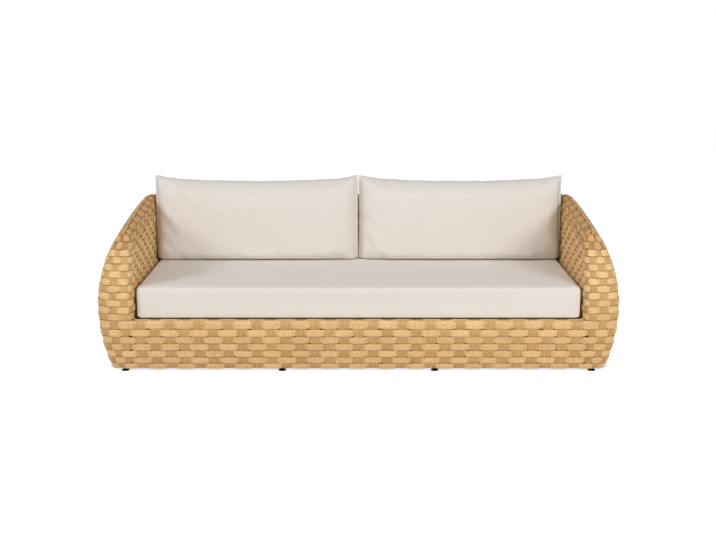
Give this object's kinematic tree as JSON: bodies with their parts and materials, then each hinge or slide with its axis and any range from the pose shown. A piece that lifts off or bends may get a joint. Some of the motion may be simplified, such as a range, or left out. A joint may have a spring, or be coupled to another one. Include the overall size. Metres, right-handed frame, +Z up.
{
  "type": "garden sofa",
  "caption": "Garden sofa with a barrel-shaped woven shell, low rolled arms, one long seat cushion and two loose back cushions, on screw-in feet.",
  "frame": {"origin": "on the floor, under the middle of the sofa's outline", "axes": "+X to the right as seen from the front, along the seat; +Y to the back; +Z up"},
  "size_m": [2.38, 0.92, 0.8226],
  "materials": {
    "woven_rattan": "satin",
    "cushion_cloth": "matte",
    "frame_aluminium": "satin",
    "foot_plastic": "matte",
    "stud_steel": "satin"
  },
  "bodies": {
    "root": {"arm_post_left": "frame_aluminium", "arm_post_right": "frame_aluminium", "arm_rib_front_left": "frame_aluminium", "arm_rib_front_right": "frame_aluminium", "arm_rib_rear_left": "frame_aluminium", "arm_rib_rear_right": "frame_aluminium", "arm_tube_left": "frame_aluminium", "arm_tube_right": "frame_aluminium", "back_post_left": "frame_aluminium", "back_post_right": "frame_aluminium", "back_rib_inner_left": "frame_aluminium", "back_rib_inner_right": "frame_aluminium", "back_rib_outer_left": "frame_aluminium", "back_rib_outer_right": "frame_aluminium", "back_top_tube": "frame_aluminium", "base_crossbar_left": "frame_aluminium", "base_crossbar_right": "frame_aluminium", "base_rail_front": "frame_aluminium", "base_rail_left": "frame_aluminium", "base_rail_rear": "frame_aluminium", "base_rail_right": "frame_aluminium", "front_leg_inner_left": "frame_aluminium", "front_leg_inner_right": "frame_aluminium", "front_leg_outer_left": "frame_aluminium", "front_leg_outer_right": "frame_aluminium", "rear_leg_left": "frame_aluminium", "rear_leg_right": "frame_aluminium", "seat_crossbar_inner_left": "frame_aluminium", "seat_crossbar_inner_right": "frame_aluminium", "seat_crossbar_outer_left": "frame_aluminium", "seat_crossbar_outer_right": "frame_aluminium", "seat_rail_front": "frame_aluminium", "seat_rail_left": "frame_aluminium", "seat_rail_rear": "frame_aluminium", "seat_rail_right": "frame_aluminium", "seat_slat_panel": "frame_aluminium", "woven_arm_left": "woven_rattan", "woven_arm_right": "woven_rattan", "woven_back": "woven_rattan", "woven_front_apron": "woven_rattan"},
    "seat_cushion": {"seat_cushion": "cushion_cloth"},
    "back_cushion_left": {"back_cushion_left": "cushion_cloth"},
    "back_cushion_right": {"back_cushion_right": "cushion_cloth"},
    "foot_front_outer_left": {"foot_pad_front_outer_left": "foot_plastic", "foot_stud_front_outer_left": "stud_steel"},
    "foot_front_inner_left": {"foot_pad_front_inner_left": "foot_plastic", "foot_stud_front_inner_left": "stud_steel"},
    "foot_front_inner_right": {"foot_pad_front_inner_right": "foot_plastic", "foot_stud_front_inner_right": "stud_steel"},
    "foot_front_outer_right": {"foot_pad_front_outer_right": "foot_plastic", "foot_stud_front_outer_right": "stud_steel"},
    "foot_rear_outer_left": {"foot_pad_rear_outer_left": "foot_plastic", "foot_stud_rear_outer_left": "stud_steel"},
    "foot_rear_inner_left": {"foot_pad_rear_inner_left": "foot_plastic", "foot_stud_rear_inner_left": "stud_steel"},
    "foot_rear_inner_right": {"foot_pad_rear_inner_right": "foot_plastic", "foot_stud_rear_inner_right": "stud_steel"},
    "foot_rear_outer_right": {"foot_pad_rear_outer_right": "foot_plastic", "foot_stud_rear_outer_right": "stud_steel"}
  },
  "joints": [
    {"name": "seat_cushion_lift", "type": "slide", "parent": "root", "child": "seat_cushion", "axis": [0, 0, 1], "range_m": [0, 0.5]},
    {"name": "back_cushion_left_lift", "type": "slide", "parent": "seat_cushion", "child": "back_cushion_left", "axis": [0, 0, 1], "range_m": [0, 0.45]},
    {"name": "back_cushion_right_lift", "type": "slide", "parent": "seat_cushion", "child": "back_cushion_right", "axis": [0, 0, 1], "range_m": [0, 0.45]},
    {"name": "foot_front_outer_left_level", "type": "slide", "parent": "root", "child": "foot_front_outer_left", "axis": [0, 0, -1], "range_m": [0, 0.01]},
    {"name": "foot_front_inner_left_level", "type": "slide", "parent": "root", "child": "foot_front_inner_left", "axis": [0, 0, -1], "range_m": [0, 0.01]},
    {"name": "foot_front_inner_right_level", "type": "slide", "parent": "root", "child": "foot_front_inner_right", "axis": [0, 0, -1], "range_m": [0, 0.01]},
    {"name": "foot_front_outer_right_level", "type": "slide", "parent": "root", "child": "foot_front_outer_right", "axis": [0, 0, -1], "range_m": [0, 0.01]},
    {"name": "foot_rear_outer_left_level", "type": "slide", "parent": "root", "child": "foot_rear_outer_left", "axis": [0, 0, -1], "range_m": [0, 0.01]},
    {"name": "foot_rear_inner_left_level", "type": "slide", "parent": "root", "child": "foot_rear_inner_left", "axis": [0, 0, -1], "range_m": [0, 0.01]},
    {"name": "foot_rear_inner_right_level", "type": "slide", "parent": "root", "child": "foot_rear_inner_right", "axis": [0, 0, -1], "range_m": [0, 0.01]},
    {"name": "foot_rear_outer_right_level", "type": "slide", "parent": "root", "child": "foot_rear_outer_right", "axis": [0, 0, -1], "range_m": [0, 0.01]}
  ]
}
